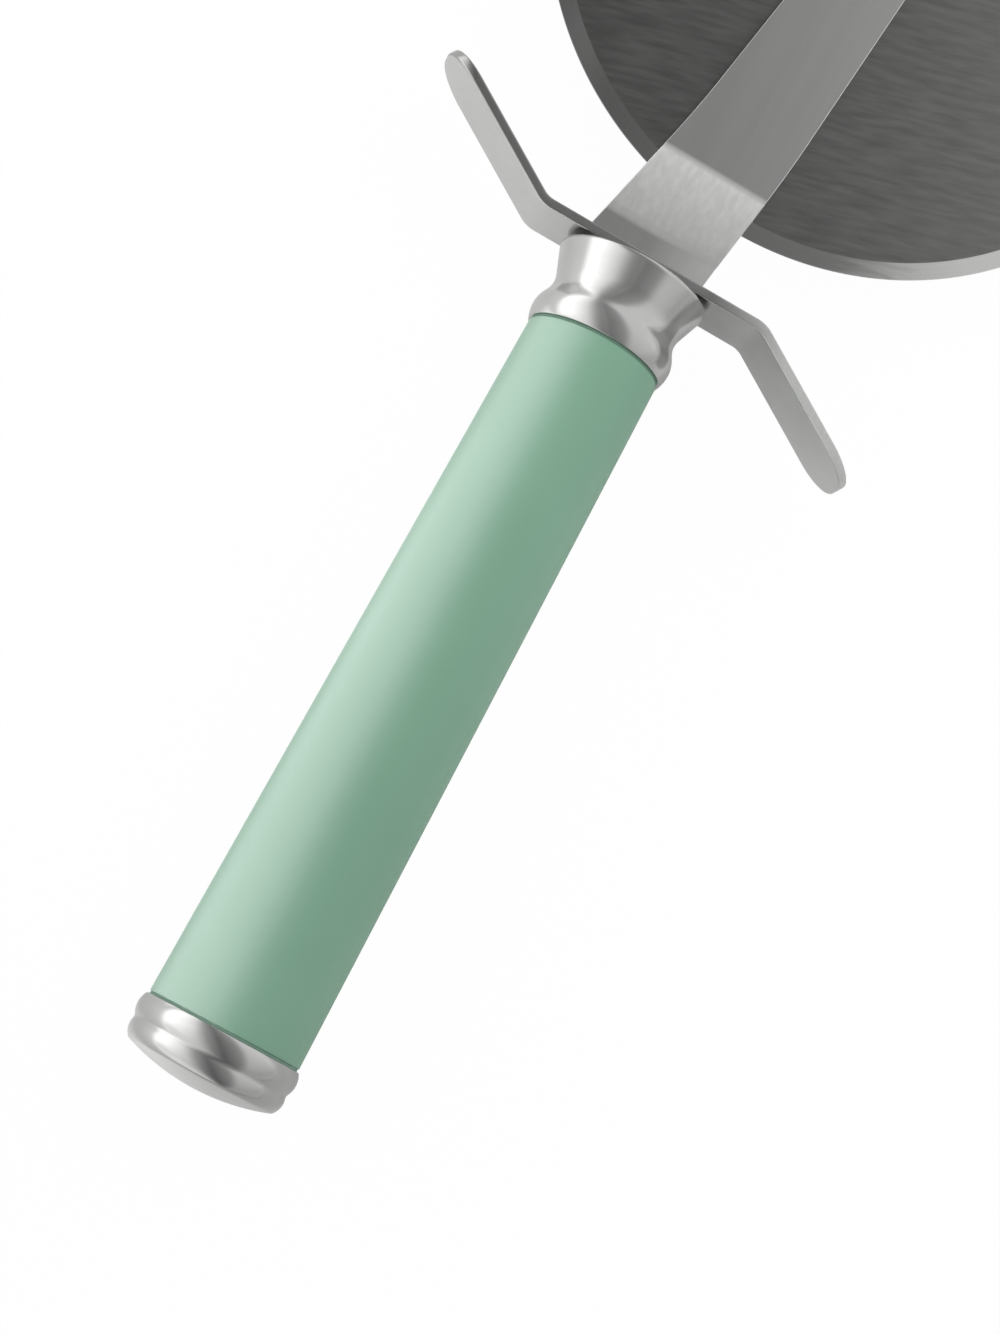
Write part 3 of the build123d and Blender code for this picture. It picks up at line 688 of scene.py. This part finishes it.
def satin_steel():
    """Stainless strip sheared, bent and tumbled: an even satin with a faint grain, duller on sheared edges.
    Where the finger lies, the edge is matt and carries a painted highlight that makes it paler."""
    material, tree, shader, spots = start_material("tumbled_stainless_strip", Metallic=1.0)
    grain = mottle(tree, spots["Object"], apart=0.4, detail=3.0)
    face_drift = mottle(tree, spots["Object"], apart=8)
    edge_drift = mottle(tree, spots["Object"], apart=3)

    # The sheared edges face away from X, and those at the finger's side are matt with a painted highlight
    facing = wire(tree, "SeparateXYZ", {0: spots["Normal"]}).outputs["X"]
    flatness = wire(tree, "Math", {0: facing}, operation="ABSOLUTE")
    sheared = wire(tree, "MapRange", {
        "Value": flatness, "From Min": SHEARED_FACE[0], "From Max": SHEARED_FACE[1]})
    side = wire(tree, "SeparateXYZ", {0: spots["Object"]}).outputs["Y"]
    matt_highlit_edge = wire(tree, "MapRange", {
        "Value": side, "From Min": MATT_HIGHLIT_Y[0] * MM, "From Max": MATT_HIGHLIT_Y[1] * MM})

    # Colours and roughness
    face = wire(tree, "Mix", {"Factor": face_drift, "A": "#C6C6C5", "B": "#CECECD"}, data_type="RGBA")
    dull = wire(tree, "Mix", {"Factor": edge_drift, "A": "#A3A3A2", "B": "#ACACAB"}, data_type="RGBA")
    painted_highlight = wire(tree, "Mix", {"Factor": grain, "A": "#DEDEDD", "B": "#E6E6E5"}, data_type="RGBA")
    edge = wire(tree, "Mix", {"Factor": matt_highlit_edge, "A": dull, "B": painted_highlight}, data_type="RGBA")
    face_rough = wire(tree, "MapRange", {"Value": grain, "To Min": 0.17, "To Max": 0.26})
    edge_rough = wire(tree, "MapRange", {"Value": matt_highlit_edge, "To Min": 0.2, "To Max": 0.7})
    colour = wire(tree, "Mix", {"Factor": sheared, "A": face, "B": edge}, data_type="RGBA")
    rough = wire(tree, "Mix", {"Factor": sheared, "A": face_rough, "B": edge_rough}, data_type="FLOAT")
    wire(tree, shader, {
        "Base Color": colour, "Roughness": rough,
        "Normal": wire(tree, "Bump", {"Height": grain, "Distance": 0.001 * MM})})
    return material


def moulded(name, dark, light, smooth, rough):
    """Moulded plastic or rubber: a dull even skin with the fine texture of its mould."""
    material, tree, shader, spots = start_material(name)
    drift = mottle(tree, spots["Object"], apart=6, detail=1.0)
    skin = mottle(tree, spots["Object"], apart=0.3)
    wire(tree, shader, {
        "Base Color": wire(tree, "Mix", {"Factor": drift, "A": dark, "B": light}, data_type="RGBA"),
        "Roughness": wire(tree, "MapRange", {"Value": skin, "To Min": smooth, "To Max": rough}),
        "Normal": wire(tree, "Bump", {"Height": skin, "Distance": 0.005 * MM})})
    return material


def finish_piece(piece, body, node, material):
    """Puts a piece in its node's place, on its body, with its finish."""
    piece.data.materials.clear()
    piece.data.materials.append(material)
    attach(piece, body)
    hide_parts(node)


green = lacquered_abs()
polish = buffed_steel("polished_stainless", "X", "#C6C6C5", "#CCCCCB", smooth=0.17, rough=0.22)
fastener = buffed_steel("turned_stainless", "Z", "#ADADAB", "#B9B9B7", smooth=0.22, rough=0.32)
blade_steel = blade_sheet()
arm_steel = arm_sheet()
guard_steel = satin_steel()
acetal = moulded("moulded_acetal", "#DAD9D3", "#E0DFDA", smooth=0.35, rough=0.45)
nylon = moulded("moulded_nylon", "#C9C8C0", "#D1D0C9", smooth=0.4, rough=0.5)
# The seals' nitrile is darker than the grip, which paints the shade of the seams at the grip's ends
seam_shade_rubber = moulded("seam_shade_nitrile_rubber", "#6F8F7E", "#769685", smooth=0.6, rough=0.75)

grip = make_grip()
finish_piece(grip, "handle", "handle_grip", green)
# Seal rings in the seams at both ends of the grip, their darker colour a painted shade
finish_piece(make_seal("front_seal_ring", GRIP_FRONT_X, GRIP_BORE_R, GRIP_FRONT_R - SEAL_INSET),
             "handle", "front_seal", seam_shade_rubber)
finish_piece(make_seal("rear_seal_ring", CAP_RIM_X, CAP_CAVITY_R, GRIP_REAR_R - SEAL_INSET),
             "handle", "rear_seal", seam_shade_rubber)
finish_piece(make_ferrule(), "handle", "ferrule", polish)
finish_piece(make_end_cap(), "handle", "end_cap", polish)
finish_piece(make_guard(), "handle", "finger_guard", guard_steel)
arm = make_arm()
lay_grain(arm, ARM_GRAIN)
finish_piece(arm, "handle", "arm", arm_steel)
blade = make_blade()
lay_grain(blade, BLADE_GRAIN)
finish_piece(blade, "wheel", "blade", blade_steel)
finish_piece(make_bush(), "wheel", "hub_bush", acetal)
finish_piece(make_rivet(), "handle", "axle_rivet", fastener)
finish_piece(make_ring("spacer_ring", SPACER_LOW_Z, SPACER_TOP_Z, SPACER_R),
             "handle", "spacer_washer", fastener)
finish_piece(make_ring("thrust_ring", THRUST_LOW_Z, THRUST_TOP_Z, THRUST_R),
             "handle", "thrust_washer", fastener)

# Pieces that stay sealed inside the handle keep their CAD shapes
INSIDE = {
    "ferrule_insert": nylon, "handle_core": nylon, "rear_plug": nylon,
    "tie_rod": fastener, "tang_pins": fastener, "rod_washer": fastener, "spring_washer": fastener,
    "rod_nut": fastener, "cap_ring": fastener}
for node, material in INSIDE.items():
    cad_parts[node].data.materials.clear()
    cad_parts[node].data.materials.append(material)

# Level directions, about to the camera's left and ahead of it
TO_LEFT, AHEAD = Vector((-0.309, 0.951, 0)), Vector((0.951, 0.309, 0))

# Paper: how much of it is plain white to each kind of ray, and how bright reflections show it.
# It brightens along a heading, is shaded under the handle, and has pools of light, each with its middle,
# its edges and its brightness.
PAPER_SHARES = (("Is Camera Ray", 0.98), ("Is Glossy Ray", 0.5), ("Is Transmission Ray", 0.98))
PAPER_LIT, PAPER_FADE, PAPER_LEVELS = Vector((0.49, 0.872, 0)), (-75, 40), (0.25, 0.9)
SHADE_Y, PAPER_SHADE, SHADE_LEVEL = -9, (5, 26), 0.45
POOLS = ((Vector((15, 52, -11.5)), (16, 42), 3), (Vector((-78, 0, -11.5)), (12, 30), 3.2))

# Walls: brightness from right to left, and the shares of it that are left behind the camera and at the foot.
# Each has the headings or heights between which it changes. Above the top there is none.
WALLS, WALL_TURN = (0.75, 1.65), (-0.2, 0.4)
WALL_REAR, WALL_REAR_SHARE = (-0.9, -0.2), 0.5
WALL_FOOT, WALL_FOOT_SHARE = (-0.08, 0.02), 0.55
WALL_TOP = (0.07, 0.09)

# Panels overhead, as the polished steel shows them: brightness by distance from a dark gap between the two
GAP_SHIFT = 20
LEFT_LEVELS = ((0, 0.13), (45, 0.28), (110, 0.37), (250, 1.0), (420, 1.3), (750, 1.6), (4000, 1.72))
RIGHT_LEVELS = ((0, 0.13), (30, 0.24), (115, 0.36), (170, 0.73), (2290, 0.78))
REAR_FADE, REAR_SHARE = (-400, 150), (0.7, 1.18)

# Lights for the grip: the softbox that draws its sheen, and the matt fill
SHEEN_PLACE, SHEEN_SIZE, SHEEN_LEVEL = TO_LEFT * 400 + Vector((0, 0, 105)), (1600, 1250), 3.4
FILL_PLACE, FILL_SIZE, FILL_LEVEL = TO_LEFT * -300 + AHEAD * 250 + Vector((0, 0, 550)), (800, 800), 1.15

# Camera
VIEW_RIGHT, VIEW_UP = Vector((0.46665, -0.86659, 0.1768)), Vector((0.86666, 0.48792, 0.10408))
EYE, LENS, SENSOR = Vector((-55.6, 28.4, 352.4)), 71.6, 36


def white_paper():
    """Matt white paper sweep: white to the eye. Reflections show it with more of the object's own shadow,
    and with pools of light on it, left of the grip and behind the end cap."""
    material, tree, shader, spots = start_material("white_paper", Roughness=0.9, Base_Color="#F2F2F1")
    place = spots["Object"]
    rays = wire(tree, "LightPath").outputs
    share = 0
    for ray, part in PAPER_SHARES:
        share = wire(tree, "Math", {0: rays[ray], 1: part, 2: share}, operation="MULTIPLY_ADD")

    # What reflections see
    lit = wire(tree, "VectorMath", {0: place, 1: PAPER_LIT}, operation="DOT_PRODUCT")
    seen = wire(tree, "MapRange", {
        "Value": lit, "From Min": PAPER_FADE[0] * MM, "From Max": PAPER_FADE[1] * MM,
        "To Min": PAPER_LEVELS[0], "To Max": PAPER_LEVELS[1]})
    side = wire(tree, "SeparateXYZ", {0: place}).outputs["Y"]
    off = wire(tree, "Math", {0: side, 1: SHADE_Y * MM}, operation="SUBTRACT")
    away = wire(tree, "Math", {0: off}, operation="ABSOLUTE")
    shade = wire(tree, "MapRange", {
        "Value": away, "From Min": PAPER_SHADE[0] * MM, "From Max": PAPER_SHADE[1] * MM,
        "To Min": SHADE_LEVEL})
    seen = wire(tree, "Math", {0: seen, 1: shade}, operation="MULTIPLY")
    for middle, (inner, outer), brightest in POOLS:
        distance = wire(tree, "VectorMath", {0: place, 1: middle * MM}, operation="DISTANCE")
        pool = wire(tree, "MapRange", {
            "Value": distance, "From Min": inner * MM, "From Max": outer * MM,
            "To Min": brightest, "To Max": 1})
        seen = wire(tree, "Math", {0: seen, 1: pool}, operation="MULTIPLY")

    # The camera sees plain white, at a strength of 1
    level = wire(tree, "Mix", {"Factor": rays["Is Camera Ray"], "A": seen, "B": 1}, data_type="FLOAT")
    white = wire(tree, "Emission", {"Color": "#FFFFFF", "Strength": level})
    mix = wire(tree, "MixShader", {0: share, 1: shader, 2: white})
    wire(tree, tree.nodes["Material Output"], {"Surface": mix})
    return material


def make_floor():
    """Paper that the part lies on."""
    tilt = FLOOR_UP.to_track_quat("Z", "Y").to_euler()
    floor = begin("paper_floor", bpy.ops.mesh.primitive_plane_add, size=FLOOR_SIZE,
                  location=FLOOR_UP * -FLOOR_DEPTH * MM, rotation=tilt)
    bpy.ops.object.mode_set(mode="OBJECT")
    floor.data.materials.append(white_paper())


def studio_world():
    """White walls far off, brighter at the camera's left and dimmer behind it, up to the panels."""
    world = bpy.data.worlds.new("studio")
    bpy.context.scene.world = world
    world.use_nodes = True
    tree = world.node_tree
    heading = wire(tree, "TexCoord").outputs["Generated"]
    left = wire(tree, "VectorMath", {0: heading, 1: TO_LEFT}, operation="DOT_PRODUCT")
    ahead = wire(tree, "VectorMath", {0: heading, 1: AHEAD}, operation="DOT_PRODUCT")
    height = wire(tree, "SeparateXYZ", {0: heading}).outputs["Z"]
    level = wire(tree, "MapRange", {
        "Value": left, "From Min": WALL_TURN[0], "From Max": WALL_TURN[1],
        "To Min": WALLS[0], "To Max": WALLS[1]})
    changes = (
        (ahead, WALL_REAR, WALL_REAR_SHARE, 1), (height, WALL_TOP, 1, 0),
        (height, WALL_FOOT, WALL_FOOT_SHARE, 1))
    for value, (start, end), before, after in changes:
        share = wire(tree, "MapRange", {
            "Value": value, "From Min": start, "From Max": end, "To Min": before, "To Max": after})
        level = wire(tree, "Math", {0: level, 1: share}, operation="MULTIPLY")
    seen = wire(tree, "LightPath").outputs["Is Camera Ray"]
    level = wire(tree, "Math", {0: level, 1: seen}, operation="MAXIMUM")
    wire(tree, tree.nodes["Background"], {"Color": "#FFFFFF", "Strength": level})


def add_lamp(name, place, aim, size, level):
    """An area lamp with a face of a size in millimetres, as bright all over as a level says."""
    bpy.ops.object.light_add(type="AREA", location=place * MM, rotation=aim)
    lamp = bpy.context.object
    lamp.name = name
    lamp.data.shape = "RECTANGLE"
    lamp.data.size, lamp.data.size_y = size[0] * MM, size[1] * MM
    lamp.data.energy = level * math.pi * lamp.data.size * lamp.data.size_y
    return lamp


def hang_panel(name, side, height, levels):
    """A soft panel that looks down from the left (1) or the right (-1) of the camera.
    It is graded from its inner edge to its outer edge, and dims towards the rear."""
    outwards = TO_LEFT * side
    reach, brightest = levels[-1][0], max(level for _, level in levels)
    middle = TO_LEFT * GAP_SHIFT + outwards * reach / 2 + Vector((0, 0, height))
    lamp = add_lamp(name, middle, (0, 0, math.atan2(outwards.y, outwards.x)), (reach, 2 * reach), brightest)
    lamp.data.use_nodes = True
    tree = lamp.data.node_tree
    spot = wire(tree, "NewGeometry").outputs["Parametric"]
    place = wire(tree, "SeparateXYZ", {0: spot}).outputs
    ramp = wire(tree, "ValToRGB", {"Fac": place["X"]})
    stops = ramp.color_ramp.elements
    for across, _ in levels[1:-1]:
        stops.new(across / reach)
    for stop, (_, level) in zip(stops, levels):
        stop.color = (level / brightest, level / brightest, level / brightest, 1)
    rear, front = (0.5 - side * along / (2 * reach) for along in REAR_FADE)
    dimmed = wire(tree, "MapRange", {
        "Value": place["Y"], "From Min": rear, "From Max": front,
        "To Min": REAR_SHARE[0], "To Max": REAR_SHARE[1]})
    wire(tree, tree.nodes["Emission"], {"Color": ramp, "Strength": dimmed})


def add_softbox(name, place, size, level):
    """A plain softbox in the air that looks at the middle of the grip."""
    lamp = add_lamp(name, place, place.to_track_quat("Z", "Y").to_euler(), size, level)
    lamp.data.cycles.use_multiple_importance_sampling = False
    return lamp


def light_grip(grip):
    """A softbox low at the left draws the sheen on the grip alone, and a matt fill evens the right side.
    The paper doesn't hold the softbox back, as it would mirror it there."""
    sheen = add_softbox("grip_softbox", SHEEN_PLACE, SHEEN_SIZE, SHEEN_LEVEL)
    sheen.visible_diffuse = False
    only_grip = bpy.data.collections.new("grip_softbox_links")
    only_grip.objects.link(grip)
    sheen.light_linking.receiver_collection = only_grip
    sheen.light_linking.blocker_collection = only_grip
    fill = add_softbox("matt_fill", FILL_PLACE, FILL_SIZE, FILL_LEVEL)
    fill.visible_glossy = False


def make_camera():
    """A longish lens above the handle, turned so that the handle runs up to the right."""
    bpy.ops.object.camera_add()
    camera = bpy.context.object
    camera.data.sensor_width = SENSOR
    camera.data.lens = LENS
    turn = Matrix((VIEW_RIGHT, VIEW_UP, VIEW_RIGHT.cross(VIEW_UP))).transposed().to_4x4()
    camera.matrix_world = Matrix.Translation(EYE * MM) @ turn
    bpy.context.scene.camera = camera


make_floor()
studio_world()
hang_panel("left_panel", side=1, height=350, levels=LEFT_LEVELS)
hang_panel("right_panel", side=-1, height=200, levels=RIGHT_LEVELS)
light_grip(grip)
make_camera()
bpy.context.scene.view_settings.view_transform = "Standard"
